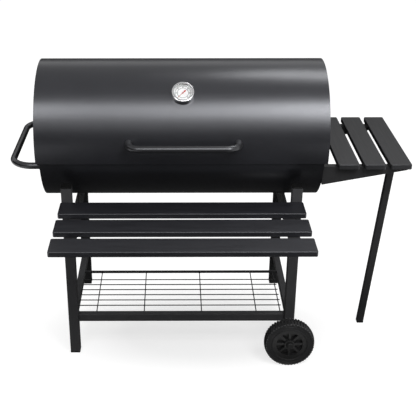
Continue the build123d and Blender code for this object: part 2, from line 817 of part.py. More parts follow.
# Prop leg under the outer slat, which leans in towards its foot
prop_rise = table_under - plate - foot_height
with BuildPart() as prop_leg:
    with BuildSketch(Plane((prop_foot_x, prop_y, foot_height))):
        RectangleRounded(prop_size, prop_size, leg_wall)
        Rectangle(prop_size - 2 * leg_wall, prop_size - 2 * leg_wall, mode=Mode.SUBTRACT)
    extrude(amount=hypot(prop_lean, prop_rise), dir=(prop_lean, 0, prop_rise))
    with Locations((prop_x + prop_size / 2 - prop_plate / 2, prop_y, table_under - plate / 2)):
        Box(prop_plate, prop_plate, plate)
    with Locations(*prop_screw_places):
        Hole(screw_radius + hole_gap, 2 * plate)
save(prop_leg.part, "prop_leg")

# Wheel on the front right leg: a crowned tyre with two staggered rows of lugs, on a spoked rim
wheel_plane = Plane((wheel_x, wheel_y, wheel_radius), x_dir=(1, 0, 0), z_dir=(0, -1, 0))
lug_width = pi * wheel_radius / lug_count
shoulder = tyre_width / 2


def crowned(radius):
    """A ring round the rim whose outside swells to a radius at mid width."""
    with BuildPart() as ring:
        with BuildSketch(Plane(wheel_plane.origin)):
            with BuildLine():
                low, high = (radius - tyre_crown, -shoulder), (radius - tyre_crown, shoulder)
                ThreePointArc(low, (radius, 0), high)
                Polyline(high, (rim_radius, shoulder), (rim_radius, -shoulder), low)
            make_face()
        revolve(axis=Axis(wheel_plane.origin, wheel_plane.z_dir))
    return ring.part


with BuildPart() as lugs:
    for half, turn in ((-1, 0), (1, 180 / lug_count)):
        with BuildSketch(wheel_plane.offset(min(0, half * shoulder))):
            with PolarLocations(wheel_radius - 2 * tyre_crown, lug_count, start_angle=turn):
                Rectangle(3 * tyre_crown, lug_width, align=(Align.MIN, Align.CENTER))
        extrude(amount=shoulder)
    add(crowned(wheel_radius), mode=Mode.INTERSECT)
with BuildPart() as tyre:
    add(crowned(wheel_radius - tyre_lug))
    add(lugs.part)
save(tyre.part, "wheel_tyre")

with BuildPart() as wheel_rim:
    with BuildSketch(wheel_plane.offset(-rim_width / 2)):
        Circle(rim_radius - seat_gap)
        Circle(rim_radius - rim_wall, mode=Mode.SUBTRACT)
    extrude(amount=rim_width)
    with BuildSketch(wheel_plane.offset(-4)):
        Circle(rim_radius - rim_wall / 2)
    extrude(amount=8)
    with BuildSketch(wheel_plane.offset(-rim_width / 2 + 3)):
        with PolarLocations(0, spoke_count):
            Rectangle(rim_radius - rim_wall / 2, spoke_width, align=(Align.MIN, Align.CENTER))
    extrude(amount=rim_width - 6)
    with BuildSketch(wheel_plane.offset(-hub_width / 2)):
        Circle(hub_radius)
    extrude(amount=hub_width)
    with Locations(wheel_plane):
        Cylinder(axle_radius + running_gap, 2 * hub_width, mode=Mode.SUBTRACT)
save(wheel_rim.part, "wheel_rim")

# Shoulder axle: head behind the leg, sleeve in front of it, washer and push-on cap outside the hub
axle_start = Plane((wheel_x, -leg_y + leg_size / 2, wheel_radius), x_dir=(1, 0, 0), z_dir=(0, -1, 0))
hub_inside = -wheel_y - hub_width / 2 - leg_y + leg_size / 2
hub_outside = hub_inside + hub_width
with BuildPart() as axle:
    with BuildSketch(axle_start.offset(-8)):
        RegularPolygon(axle_sleeve, 6)
    extrude(amount=8)
    with BuildSketch(axle_start):
        Circle(axle_radius)
    extrude(amount=hub_outside + 6)
    with BuildSketch(axle_start.offset(leg_size)):
        Circle(axle_sleeve)
    extrude(amount=hub_inside - leg_size - 0.5)
    with BuildSketch(axle_start.offset(hub_outside + 0.5)):
        Circle(axle_sleeve + 3)
    extrude(amount=2)
    with BuildSketch(axle_start.offset(hub_outside + 2.5)):
        Circle(axle_sleeve + 1)
    extrude(amount=7)
    fillet(axle.faces().sort_by(Axis(axle_start.origin, axle_start.z_dir))[-1].edges(), 3)
save(axle.part, "axle")
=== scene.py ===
"""Looks for the barrel charcoal grill: finishes, dial print, tyre ribs, weld beads, studio and camera.

Metres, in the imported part's own frame: +X is the side table's end, +Y the rear, +Z up.
"""
import json
from math import cos, radians, sin

import bmesh
import bpy
from mathutils import Matrix, Vector


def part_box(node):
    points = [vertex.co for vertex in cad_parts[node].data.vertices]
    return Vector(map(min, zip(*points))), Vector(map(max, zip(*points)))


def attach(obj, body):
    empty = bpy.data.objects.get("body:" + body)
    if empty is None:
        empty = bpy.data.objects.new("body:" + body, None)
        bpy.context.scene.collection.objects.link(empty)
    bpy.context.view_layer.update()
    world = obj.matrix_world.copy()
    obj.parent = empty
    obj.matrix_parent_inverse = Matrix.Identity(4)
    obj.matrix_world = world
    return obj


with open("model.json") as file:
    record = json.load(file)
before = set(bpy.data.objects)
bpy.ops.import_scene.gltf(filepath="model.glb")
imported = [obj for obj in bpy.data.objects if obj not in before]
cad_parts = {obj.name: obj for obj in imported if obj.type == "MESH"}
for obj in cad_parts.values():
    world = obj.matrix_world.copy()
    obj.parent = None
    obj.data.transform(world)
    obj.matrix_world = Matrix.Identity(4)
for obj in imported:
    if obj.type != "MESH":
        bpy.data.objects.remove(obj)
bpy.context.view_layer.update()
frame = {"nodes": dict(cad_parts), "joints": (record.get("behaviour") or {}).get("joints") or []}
nodes = frame["nodes"]
joints = {joint["name"]: joint for joint in frame["joints"]}
scene = bpy.context.scene
scene.view_settings.view_transform = "Standard"


# Camera, from the photograph's own frame
IMAGE_SIZE = 416
FOCAL_PIXELS = 877.1
CENTRE_PIXEL_X = 177.4
CAMERA_PLACE = (-0.12165, -2.83345, 1.9254)
CAMERA_PITCH_DOWN = 25.71
CAMERA_YAW = -0.232
SENSOR_MM = 36


def add_camera():
    """One fixed camera at the photograph's viewing angle."""
    data = bpy.data.cameras.new("camera")
    data.sensor_width = SENSOR_MM
    data.lens = SENSOR_MM * FOCAL_PIXELS / IMAGE_SIZE
    data.shift_x = (IMAGE_SIZE / 2 - CENTRE_PIXEL_X) / IMAGE_SIZE
    camera = bpy.data.objects.new("camera", data)
    camera.location = CAMERA_PLACE
    camera.rotation_euler = (radians(90 - CAMERA_PITCH_DOWN), 0, radians(CAMERA_YAW))
    scene.collection.objects.link(camera)
    scene.camera = camera


# Node helpers for the finishes
def new_finish(name):
    """A new material, its tree and its principled shader."""
    material = bpy.data.materials.new(name)
    material.use_nodes = True
    tree = material.node_tree
    return material, tree, tree.nodes["Principled BSDF"]


def object_coordinates(tree, scale=(1, 1, 1), shift=(0, 0, 0)):
    """Object coordinates, scaled and then shifted by a mapping node."""
    source = tree.nodes.new("ShaderNodeTexCoord")
    mapping = tree.nodes.new("ShaderNodeMapping")
    mapping.inputs["Scale"].default_value = scale
    mapping.inputs["Location"].default_value = shift
    tree.links.new(source.outputs["Object"], mapping.inputs["Vector"])
    return mapping.outputs["Vector"]


def noise(tree, vector, scale, detail=3, roughness=0.55):
    """A noise texture's value."""
    texture = tree.nodes.new("ShaderNodeTexNoise")
    texture.inputs["Scale"].default_value = scale
    texture.inputs["Detail"].default_value = detail
    texture.inputs["Roughness"].default_value = roughness
    tree.links.new(vector, texture.inputs["Vector"])
    return texture.outputs["Fac"]


def spread(tree, value, low, high, from_low=0.3, from_high=0.7):
    """Maps a value to a range."""
    node = tree.nodes.new("ShaderNodeMapRange")
    node.inputs["From Min"].default_value = from_low
    node.inputs["From Max"].default_value = from_high
    node.inputs["To Min"].default_value = low
    node.inputs["To Max"].default_value = high
    tree.links.new(value, node.inputs["Value"])
    return node.outputs["Result"]


def two_tone(tree, value, dark, light, start=0.3, end=0.7):
    """A colour ramp between two colours."""
    ramp = tree.nodes.new("ShaderNodeValToRGB")
    ramp.color_ramp.elements[0].position = start
    ramp.color_ramp.elements[0].color = (*dark, 1)
    ramp.color_ramp.elements[1].position = end
    ramp.color_ramp.elements[1].color = (*light, 1)
    tree.links.new(value, ramp.inputs["Fac"])
    return ramp.outputs["Color"]


def bump(tree, shader, height, distance, strength=1.0):
    """A bump of a real height, in metres."""
    node = tree.nodes.new("ShaderNodeBump")
    node.inputs["Distance"].default_value = distance
    node.inputs["Strength"].default_value = strength
    tree.links.new(height, node.inputs["Height"])
    tree.links.new(node.outputs["Normal"], shader.inputs["Normal"])


# Finishes: dark and light are the two ends of the colour, rough the two ends of the roughness.
# COOL is the faint blue cast of the gloss on the barrel, the handles and the boards.
PLAIN = (1, 1, 1)
COOL = (0.93, 0.945, 1.0)


def satin_coat(name, dark, light, rough, specular, tint=PLAIN, peel=900, peel_height=0.00006):
    """Sprayed coat: uneven gloss in soft clouds and a fine orange-peel skin."""
    material, tree, shader = new_finish(name)
    place = object_coordinates(tree)
    clouds = noise(tree, place, scale=7, detail=4)
    tree.links.new(two_tone(tree, clouds, dark, light), shader.inputs["Base Color"])
    speckle = noise(tree, place, scale=160, detail=2)
    tree.links.new(spread(tree, speckle, *rough), shader.inputs["Roughness"])
    bump(tree, shader, noise(tree, place, scale=peel, detail=2), distance=peel_height)
    shader.inputs["Specular IOR Level"].default_value = specular
    shader.inputs["Specular Tint"].default_value = (*tint, 1)
    return material


def painted_board(name, along, dark, light, specular):
    """Painted timber: faint grain along one axis of the board, pores and soft gloss."""
    material, tree, shader = new_finish(name)
    across_grain, along_grain = 60.0, 2.5
    stretch = [across_grain] * 3
    stretch[along] = along_grain
    grain = noise(tree, object_coordinates(tree, scale=stretch), scale=2.2, detail=6, roughness=0.6)
    tree.links.new(two_tone(tree, grain, dark, light, start=0.35, end=0.68), shader.inputs["Base Color"])
    tree.links.new(spread(tree, grain, low=0.34, high=0.46), shader.inputs["Roughness"])
    bump(tree, shader, grain, distance=0.0002, strength=0.35)
    shader.inputs["Specular IOR Level"].default_value = specular
    shader.inputs["Specular Tint"].default_value = (*COOL, 1)
    return material


def moulded_plastic(name, dark, light, rough, specular):
    """Black plastic with a fine spark-eroded grain."""
    material, tree, shader = new_finish(name)
    place = object_coordinates(tree)
    tree.links.new(two_tone(tree, noise(tree, place, scale=25), dark, light), shader.inputs["Base Color"])
    tree.links.new(spread(tree, noise(tree, place, scale=240), *rough), shader.inputs["Roughness"])
    bump(tree, shader, noise(tree, place, scale=1400, detail=1), distance=0.00005)
    shader.inputs["Specular IOR Level"].default_value = specular
    return material


def rubber(name, dark, light, rough, specular):
    """Tyre rubber, dusty in patches."""
    material, tree, shader = new_finish(name)
    place = object_coordinates(tree)
    dust = noise(tree, place, scale=45, detail=5)
    tree.links.new(two_tone(tree, dust, dark, light), shader.inputs["Base Color"])
    tree.links.new(spread(tree, noise(tree, place, scale=300), *rough), shader.inputs["Roughness"])
    bump(tree, shader, noise(tree, place, scale=700, detail=3), distance=0.00012)
    shader.inputs["Specular IOR Level"].default_value = specular
    return material


def bare_metal(name, dark, light, rough, brush=120, brush_depth=0.00002):
    """Bare or plated metal with fine marks."""
    material, tree, shader = new_finish(name)
    marks = noise(tree, object_coordinates(tree), scale=brush, detail=4)
    tree.links.new(two_tone(tree, marks, dark, light), shader.inputs["Base Color"])
    tree.links.new(spread(tree, marks, *rough), shader.inputs["Roughness"])
    bump(tree, shader, marks, distance=brush_depth)
    shader.inputs["Metallic"].default_value = 1
    return material


def lacquer(name, dark, light, roughness):
    """A thin smooth print or enamel with a trace of unevenness."""
    material, tree, shader = new_finish(name)
    place = object_coordinates(tree)
    tree.links.new(two_tone(tree, noise(tree, place, scale=180), dark, light), shader.inputs["Base Color"])
    bump(tree, shader, noise(tree, place, scale=900), distance=0.00001)
    shader.inputs["Roughness"].default_value = roughness
    return material


def clear_lens(name):
    """Flat clear glass."""
    material, tree, shader = new_finish(name)
    place = object_coordinates(tree)
    tint = two_tone(tree, noise(tree, place, scale=30), dark=(0.97, 0.98, 0.98), light=(1, 1, 1))
    tree.links.new(tint, shader.inputs["Base Color"])
    shader.inputs["Transmission Weight"].default_value = 1
    shader.inputs["Roughness"].default_value = 0.01
    shader.inputs["IOR"].default_value = 1.45
    return material


barrel_coat = satin_coat("barrel_coat", dark=(0.0095, 0.0097, 0.0118), light=(0.0138, 0.014, 0.0168),
                         rough=(0.28, 0.34), specular=0.78, tint=COOL)
# A darker, less glossy copy of the barrel paint for the lower shell: painted shade below the lid's edge.
shaded_barrel_coat = satin_coat("shaded_barrel_coat", dark=(0.0058, 0.006, 0.0073), light=(0.0085, 0.0087, 0.0104),
                        rough=(0.28, 0.34), specular=0.58, tint=COOL)
frame_coat = satin_coat("frame_coat", dark=(0.048, 0.048, 0.0504), light=(0.060, 0.060, 0.063),
                        rough=(0.42, 0.52), specular=0.25)
# A darker copy of the frame paint: painted shade on the rear legs, top and back rails, wire shelf, cradles,
# brackets and prop leg, under and behind the barrel and boards.
shaded_frame_coat = satin_coat("shaded_frame_coat", dark=(0.020, 0.020, 0.021), light=(0.028, 0.028, 0.0294),
                          rough=(0.42, 0.52), specular=0.25)
handle_coat = satin_coat("handle_coat", dark=(0.010, 0.010, 0.0108), light=(0.015, 0.015, 0.0163),
                         rough=(0.275, 0.29), specular=0.7, tint=COOL, peel=400, peel_height=0.000003)
bench_paint = painted_board("bench_paint", along=0, dark=(0.008, 0.0081, 0.010), light=(0.0138, 0.014, 0.017),
                            specular=0.65)
table_paint = painted_board("table_paint", along=1, dark=(0.009, 0.009, 0.0095), light=(0.0155, 0.0155, 0.0162),
                            specular=0.45)
cap_plastic = moulded_plastic("cap_plastic", dark=(0.009, 0.009, 0.009), light=(0.015, 0.015, 0.0155),
                              rough=(0.42, 0.58), specular=0.3)
rim_plastic = moulded_plastic("rim_plastic", dark=(0.010, 0.010, 0.0103), light=(0.016, 0.016, 0.0164),
                              rough=(0.3, 0.42), specular=0.5)
plug_plastic = moulded_plastic("plug_plastic", dark=(0.002, 0.002, 0.002), light=(0.004, 0.004, 0.0041),
                               rough=(0.6, 0.7), specular=0.15)
tyre_rubber = rubber("tyre_rubber", dark=(0.008, 0.008, 0.0085), light=(0.018, 0.018, 0.019),
                     rough=(0.42, 0.6), specular=0.45)
shoulder_rubber = rubber("shoulder_rubber", dark=(0.008, 0.008, 0.0085), light=(0.018, 0.018, 0.019),
                         rough=(0.28, 0.36), specular=0.8)
zinc_steel = bare_metal("zinc_steel", dark=(0.42, 0.42, 0.40), light=(0.58, 0.58, 0.57), rough=(0.28, 0.42))
bright_chrome = bare_metal("bright_chrome", dark=(0.76, 0.76, 0.77), light=(0.84, 0.84, 0.85),
                           rough=(0.10, 0.14), brush=60, brush_depth=0.000002)
grate_plating = bare_metal("grate_plating", dark=(0.55, 0.55, 0.55), light=(0.7, 0.7, 0.7), rough=(0.18, 0.3))
coal_steel = bare_metal("coal_steel", dark=(0.05, 0.045, 0.042), light=(0.12, 0.11, 0.105), rough=(0.5, 0.75),
                        brush=60)
dial_enamel = lacquer("dial_enamel", dark=(0.80, 0.80, 0.80), light=(0.86, 0.86, 0.86), roughness=0.4)
needle_red = lacquer("needle_red", dark=(0.42, 0.008, 0.006), light=(0.50, 0.012, 0.008), roughness=0.5)
print_grey = lacquer("print_grey", dark=(0.16, 0.16, 0.17), light=(0.22, 0.22, 0.23), roughness=0.5)
print_dark = lacquer("print_dark", dark=(0.05, 0.05, 0.05), light=(0.08, 0.08, 0.08), roughness=0.5)
lens_glass = clear_lens("lens_glass")

FINISHES = {
    # painted shade: the lower shell takes the darker copy of the barrel paint
    shaded_barrel_coat: ("lower_shell",),
    barrel_coat: ("lower_end_left", "lower_end_right", "lid_shell", "lid_end_left", "lid_end_right",
                  "intake_damper", "exhaust_damper", "hinge_upper_leaves", "hinge_lower_leaves"),
    frame_coat: ("leg_front_left", "leg_front_right", "side_rail_left", "side_rail_right", "shelf_front_rail",
                 "grate_ledges"),
    # painted shade: these frame parts take the darker copy of the frame paint
    shaded_frame_coat: ("leg_rear_left", "leg_rear_right", "top_rail_left", "top_rail_right", "shelf_back_rail",
                   "wire_shelf", "cradles", "bench_bracket_left", "bench_bracket_right", "table_bracket_front",
                   "table_bracket_rear", "prop_leg"),
    handle_coat: ("lid_handle", "push_handle"),
    bench_paint: ("bench_slat_back", "bench_slat_middle", "bench_slat_front"),
    table_paint: ("table_slat_inner", "table_slat_middle", "table_slat_outer"),
    cap_plastic: ("feet", "axle"),
    plug_plastic: ("leg_caps", "thermometer_cup"),
    rim_plastic: ("wheel_rim",),
    tyre_rubber: ("wheel_tyre",),
    zinc_steel: ("bracket_bolts", "slat_screws", "lid_handle_bolts", "push_handle_bolts", "hinge_pins",
                 "intake_rivet", "exhaust_rivet", "thermometer_stem", "thermometer_nut"),
    bright_chrome: ("thermometer_bezel",),
    grate_plating: ("cooking_grate_left", "cooking_grate_right"),
    coal_steel: ("charcoal_grate",),
    dial_enamel: ("thermometer_dial",),
    needle_red: ("thermometer_needle",),
    lens_glass: ("thermometer_glass",),
}


def dress_nodes():
    """Gives every CAD node its finish."""
    for finish, names in FINISHES.items():
        for name in names:
            data = nodes[name].data
            data.materials.clear()
            data.materials.append(finish)


# Geometry Nodes helpers
def new_tree(name, sizes):
    """A geometry tree that takes a mesh, named sizes and a finish."""
    tree = bpy.data.node_groups.new(name, "GeometryNodeTree")
    tree.interface.new_socket("Geometry", in_out="INPUT", socket_type="NodeSocketGeometry")
    for size, kind in sizes.items():
        tree.interface.new_socket(size, in_out="INPUT", socket_type=kind)
    tree.interface.new_socket("Finish", in_out="INPUT", socket_type="NodeSocketMaterial")
    tree.interface.new_socket("Geometry", in_out="OUTPUT", socket_type="NodeSocketGeometry")
    return tree, tree.nodes.new("NodeGroupInput").outputs


def end_tree(tree, given, shape):
    """Ends a tree in Realize Instances and Set Material."""
    real = tree.nodes.new("GeometryNodeRealizeInstances")
    finish = tree.nodes.new("GeometryNodeSetMaterial")
    out = tree.nodes.new("NodeGroupOutput")
    tree.links.new(shape, real.inputs["Geometry"])
    tree.links.new(real.outputs["Geometry"], finish.inputs["Geometry"])
    tree.links.new(given["Finish"], finish.inputs["Material"])
    tree.links.new(finish.outputs["Geometry"], out.inputs["Geometry"])


def grow(name, tree, finish, sizes, points=(), edges=()):
    """Runs a tree on loose points and edges and gives the result as a plain mesh."""
    seed_mesh = bpy.data.meshes.new(name + "_seed")
    seed_mesh.from_pydata(points, edges, [])
    holder = bpy.data.objects.new(name + "_seed", seed_mesh)
    scene.collection.objects.link(holder)
    modifier = holder.modifiers.new("grow", "NODES")
    modifier.node_group = tree
    sockets = {item.name: item.identifier for item in tree.interface.items_tree if item.in_out == "INPUT"}
    for size, value in sizes.items():
        modifier[sockets[size]] = value
    modifier[sockets["Finish"]] = finish
    evaluated = holder.evaluated_get(bpy.context.evaluated_depsgraph_get())
    mesh = bpy.data.meshes.new_from_object(evaluated)
    bpy.data.objects.remove(holder)
    bpy.data.meshes.remove(seed_mesh)
    return mesh


def add_piece(name, meshes, body, place=None):
    """Joins meshes into one piece at the origin that rides on a body."""
    joined = bmesh.new()
    finishes = []
    for mesh in meshes:
        finishes += [finish for finish in mesh.materials if finish not in finishes]
        first = len(joined.faces)
        joined.from_mesh(mesh)
        joined.faces.ensure_lookup_table()
        for face in joined.faces[first:]:
            face.material_index = finishes.index(mesh.materials[face.material_index])
            face.smooth = True
        bpy.data.meshes.remove(mesh)
    if place is not None:
        bmesh.ops.transform(joined, matrix=place, verts=joined.verts)
    bmesh.ops.recalc_face_normals(joined, faces=joined.faces)
    data = bpy.data.meshes.new(name)
    joined.to_mesh(data)
    joined.free()
    for finish in finishes:
        data.materials.append(finish)
    piece = bpy.data.objects.new(name, data)
    scene.collection.objects.link(piece)
    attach(piece, body)


BEAD_THINNEST = 0.72
BEAD_THICKEST = 1.15
BEAD_SIDES = 6


def bead_tree():
    """A weld bead: a tube along a path, stepped and uneven like laid weld."""
    tree, given = new_tree("weld_bead", {"Radius": "NodeSocketFloat", "Step": "NodeSocketFloat",
                                         "Seed": "NodeSocketInt"})
    path = tree.nodes.new("GeometryNodeMeshToCurve")
    tree.links.new(given["Geometry"], path.inputs["Mesh"])
    steps = tree.nodes.new("GeometryNodeResampleCurve")
    steps.mode = "LENGTH"
    tree.links.new(path.outputs["Curve"], steps.inputs["Curve"])
    tree.links.new(given["Step"], steps.inputs["Length"])
    uneven = tree.nodes.new("FunctionNodeRandomValue")
    low, high = [item for item in uneven.inputs if item.type == "VALUE"][:2]
    low.default_value = BEAD_THINNEST
    high.default_value = BEAD_THICKEST
    tree.links.new(given["Seed"], uneven.inputs["Seed"])
    thick = tree.nodes.new("ShaderNodeMath")
    thick.operation = "MULTIPLY"
    tree.links.new([item for item in uneven.outputs if item.type == "VALUE"][0], thick.inputs[0])
    tree.links.new(given["Radius"], thick.inputs[1])
    profile = tree.nodes.new("GeometryNodeCurvePrimitiveCircle")
    profile.inputs["Resolution"].default_value = BEAD_SIDES
    profile.inputs["Radius"].default_value = 1
    radius = tree.nodes.new("GeometryNodeSetCurveRadius")
    tree.links.new(steps.outputs["Curve"], radius.inputs["Curve"])
    tree.links.new(thick.outputs[0], radius.inputs["Radius"])
    tube = tree.nodes.new("GeometryNodeCurveToMesh")
    tube.inputs["Fill Caps"].default_value = True
    tree.links.new(radius.outputs["Curve"], tube.inputs["Curve"])
    tree.links.new(profile.outputs["Curve"], tube.inputs["Profile Curve"])
    source = tree.nodes.new("GeometryNodeInputRadius")
    tree.links.new(source.outputs["Radius"], tube.inputs["Scale"])
    end_tree(tree, given, tube.outputs["Mesh"])
    return tree


RING_STEPS = 96
RING_SIDES = 10


def ring_tree():
    """A moulded or printed ring: a round bead on a circle."""
    tree, given = new_tree("moulded_ring", {"Radius": "NodeSocketFloat", "Thickness": "NodeSocketFloat"})
    circle = tree.nodes.new("GeometryNodeCurvePrimitiveCircle")
    circle.inputs["Resolution"].default_value = RING_STEPS
    tree.links.new(given["Radius"], circle.inputs["Radius"])
    profile = tree.nodes.new("GeometryNodeCurvePrimitiveCircle")
    profile.inputs["Resolution"].default_value = RING_SIDES
    tree.links.new(given["Thickness"], profile.inputs["Radius"])
    tube = tree.nodes.new("GeometryNodeCurveToMesh")
    tree.links.new(circle.outputs["Curve"], tube.inputs["Curve"])
    tree.links.new(profile.outputs["Curve"], tube.inputs["Profile Curve"])
    end_tree(tree, given, tube.outputs["Mesh"])
    return tree


ARC_STEPS = 128
PAD_SEGMENTS = 10
PAD_RINGS = 6


def row_tree(name, rounded):
    """Flat ticks or rounded pads, set out along part of a circle."""
    tree, given = new_tree(name, {"Count": "NodeSocketInt", "Radius": "NodeSocketFloat",
                                  "Start": "NodeSocketFloat", "Sweep": "NodeSocketFloat",
                                  "Size": "NodeSocketVector"})
    arc = tree.nodes.new("GeometryNodeCurveArc")
    arc.inputs["Resolution"].default_value = ARC_STEPS
    tree.links.new(given["Radius"], arc.inputs["Radius"])
    tree.links.new(given["Start"], arc.inputs["Start Angle"])
    tree.links.new(given["Sweep"], arc.inputs["Sweep Angle"])
    places = tree.nodes.new("GeometryNodeCurveToPoints")
    places.mode = "COUNT"
    tree.links.new(arc.outputs["Curve"], places.inputs["Curve"])
    tree.links.new(given["Count"], places.inputs["Count"])
    if rounded:
        shape = tree.nodes.new("GeometryNodeMeshUVSphere")
        shape.inputs["Segments"].default_value = PAD_SEGMENTS
        shape.inputs["Rings"].default_value = PAD_RINGS
        shape.inputs["Radius"].default_value = 0.5
    else:
        shape = tree.nodes.new("GeometryNodeMeshCube")
    angle = tree.nodes.new("FunctionNodeAlignRotationToVector")
    angle.axis = "Y"
    angle.pivot_axis = "Z"
    where = tree.nodes.new("GeometryNodeInputPosition")
    tree.links.new(where.outputs["Position"], angle.inputs["Vector"])
    row = tree.nodes.new("GeometryNodeInstanceOnPoints")
    tree.links.new(places.outputs["Points"], row.inputs["Points"])
    tree.links.new(shape.outputs["Mesh"], row.inputs["Instance"])
    tree.links.new(angle.outputs["Rotation"], row.inputs["Rotation"])
    tree.links.new(given["Size"], row.inputs["Scale"])
    end_tree(tree, given, row.outputs["Instances"])
    return tree


# Dial print: two rings and ticks, laid on the enamel, which lies DIAL_LIFT outside the needle's joint
DIAL_LIFT = 0.00905
PRINT_THICKNESS = 0.00012
PRINT_FLATNESS = 0.3
SCALE_START = radians(-45)
SCALE_SWEEP = radians(270)
SCALE_RING = {"Radius": 0.0272, "Thickness": 0.0005}
INNER_RING = {"Radius": 0.0185, "Thickness": 0.0008}
MAIN_TICKS = {"Count": 7, "Radius": 0.0235, "Start": SCALE_START, "Sweep": SCALE_SWEEP,
              "Size": (0.0021, 0.0074, PRINT_THICKNESS)}
FINE_TICKS = {"Count": 31, "Radius": 0.0256, "Start": SCALE_START, "Sweep": SCALE_SWEEP,
              "Size": (0.0007, 0.0030, PRINT_THICKNESS)}


def dial_place():
    """The dial's middle, with X to the right, Y up the lid and Z outwards."""
    joint = joints["needle_turn"]
    outward = -Vector(joint["axis"]).normalized()
    across = Vector((1, 0, 0))
    up = outward.cross(across)
    turn = Matrix((across, up, outward)).transposed().to_4x4()
    return Matrix.Translation(Vector(joint["pos_m"]) + outward * DIAL_LIFT) @ turn


def add_dial_print():
    """The thermometer's scale, with no words or numbers."""
    rings, ticks = ring_tree(), row_tree("dial_ticks", rounded=False)
    meshes = [
        grow("scale_ring", rings, print_grey, SCALE_RING),
        grow("inner_ring", rings, print_grey, INNER_RING),
        grow("main_ticks", ticks, print_dark, MAIN_TICKS),
        grow("fine_ticks", ticks, print_grey, FINE_TICKS),
    ]
    flatten = Matrix.Diagonal((1, 1, PRINT_FLATNESS, 1))
    add_piece("dial_print", meshes, "lid", dial_place() @ flatten)


# Wheel: moulded ribs and shoulder pads on the tyre's sides
PAD_COUNT = 48
SHOULDER_PADS = {"Count": PAD_COUNT, "Radius": 0.0858, "Start": 0.0,
                 "Sweep": radians(360) * (PAD_COUNT - 1) / PAD_COUNT, "Size": (0.0078, 0.0064, 0.0036)}
SIDE_RIBS = (
    {"Radius": 0.0830, "Thickness": 0.0012},
    {"Radius": 0.0760, "Thickness": 0.0009},
    {"Radius": 0.0655, "Thickness": 0.0013},
)


def add_tyre_ribs():
    """Ribs and pads on both sides of the tyre, half sunk in it."""
    rings, pads = ring_tree(), row_tree("shoulder_pads", rounded=True)
    low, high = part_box("wheel_tyre")
    middle = (low + high) / 2
    tyre_half = (high.y - low.y) / 2
    facing = Matrix.Rotation(radians(90), 4, "X")
    meshes = []
    for side in (-1, 1):
        on_side = Matrix.Translation(middle + Vector((0, side * tyre_half, 0))) @ facing
        shapes = [grow("pad", pads, shoulder_rubber, SHOULDER_PADS)]
        shapes += [grow("rib", rings, tyre_rubber, rib) for rib in SIDE_RIBS]
        for mesh in shapes:
            mesh.transform(on_side)
        meshes += shapes
    add_piece("tyre_ribs", meshes, "wheel")


# Weld beads where the frame's tubes meet
ALONG_X = 0
ALONG_Y = 1
RAIL_BEAD = 0.0022
BACK_RAIL_BEAD = 0.0014
BEAD_STEP = 0.0032
BEAD_INSET = 0.001
WELDED_RAILS = (
    ("top_rail_left", ALONG_Y, RAIL_BEAD),
    ("top_rail_right", ALONG_Y, RAIL_BEAD),
    ("side_rail_left", ALONG_Y, RAIL_BEAD),
    ("side_rail_right", ALONG_Y, RAIL_BEAD),
    ("shelf_front_rail", ALONG_X, RAIL_BEAD),
    ("shelf_back_rail", ALONG_X, BACK_RAIL_BEAD),
)


def end_loop(low, high, axis, at):
    """The four corners of a tube's end and the edges round them."""
    u, v = [index for index in range(3) if index != axis]
    corners = []
    for cu, cv in ((0, 0), (1, 0), (1, 1), (0, 1)):
        corner = [0, 0, 0]
        corner[axis] = at
        corner[u] = high[u] - BEAD_INSET if cu else low[u] + BEAD_INSET
        corner[v] = high[v] - BEAD_INSET if cv else low[v] + BEAD_INSET
        corners.append(tuple(corner))
    return corners, [(0, 1), (1, 2), (2, 3), (3, 0)]


def add_welds():
    """A bead round both ends of each rail, each with its own seed."""
    bead = bead_tree()
    meshes = []
    for number, (name, axis, radius) in enumerate(WELDED_RAILS):
        low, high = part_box(name)
        for end, at in enumerate((low[axis], high[axis])):
            points, edges = end_loop(low, high, axis, at)
            sizes = {"Radius": radius, "Step": BEAD_STEP, "Seed": 2 * number + end}
            meshes.append(grow("weld", bead, frame_coat, sizes, points, edges))
    add_piece("frame_welds", meshes, "trolley")


# Studio surroundings: a white world and a pale floor that keeps the shadow, with a painted shadow under the grill
# where its glow is lower
WORLD_FILL = 0.12
FLOOR_HALF_SIZE = 30
FLOOR_DARK = (0.34, 0.34, 0.34)
FLOOR_LIGHT = (0.36, 0.36, 0.36)
# Painted shadow on the floor: the glow is FLOOR_NEAR_GLOW within FLOOR_NEAR of the middle under the grill and
# rises to FLOOR_FAR_GLOW at FLOOR_FAR.
FLOOR_NEAR_GLOW = 0.71
FLOOR_FAR_GLOW = 0.97
FLOOR_NEAR = 0.3
FLOOR_FAR = 0.8
SHADE_MIDDLE_X = 0.0
SHADE_MIDDLE_Y = 0.05
SHADE_SQUEEZE_Y = 1.8


def seen_directly(tree):
    """One for camera, glossy and transmission rays, so that gloss and glass show the white too."""
    rays = tree.nodes.new("ShaderNodeLightPath")
    first = tree.nodes.new("ShaderNodeMath")
    first.operation = "MAXIMUM"
    tree.links.new(rays.outputs["Is Camera Ray"], first.inputs[0])
    tree.links.new(rays.outputs["Is Glossy Ray"], first.inputs[1])
    both = tree.nodes.new("ShaderNodeMath")
    both.operation = "MAXIMUM"
    tree.links.new(first.outputs[0], both.inputs[0])
    tree.links.new(rays.outputs["Is Transmission Ray"], both.inputs[1])
    return both.outputs[0]


def add_world():
    """White where it is seen, a softer white where it lights."""
    world = bpy.data.worlds.new("studio")
    scene.world = world
    world.use_nodes = True
    tree = world.node_tree
    background = tree.nodes["Background"]
    background.inputs["Color"].default_value = (1, 1, 1, 1)
    strength = tree.nodes.new("ShaderNodeMapRange")
    strength.inputs["To Min"].default_value = WORLD_FILL
    strength.inputs["To Max"].default_value = 1
    tree.links.new(seen_directly(tree), strength.inputs["Value"])
    tree.links.new(strength.outputs["Result"], background.inputs["Strength"])


def add_stage_mesh(name, corners):
    """A four-cornered sheet that belongs to the studio."""
    mesh = bpy.data.meshes.new(name)
    mesh.from_pydata(corners, [], [(0, 1, 2, 3)])
    sheet = bpy.data.objects.new(name, mesh)
    scene.collection.objects.link(sheet)
    return sheet


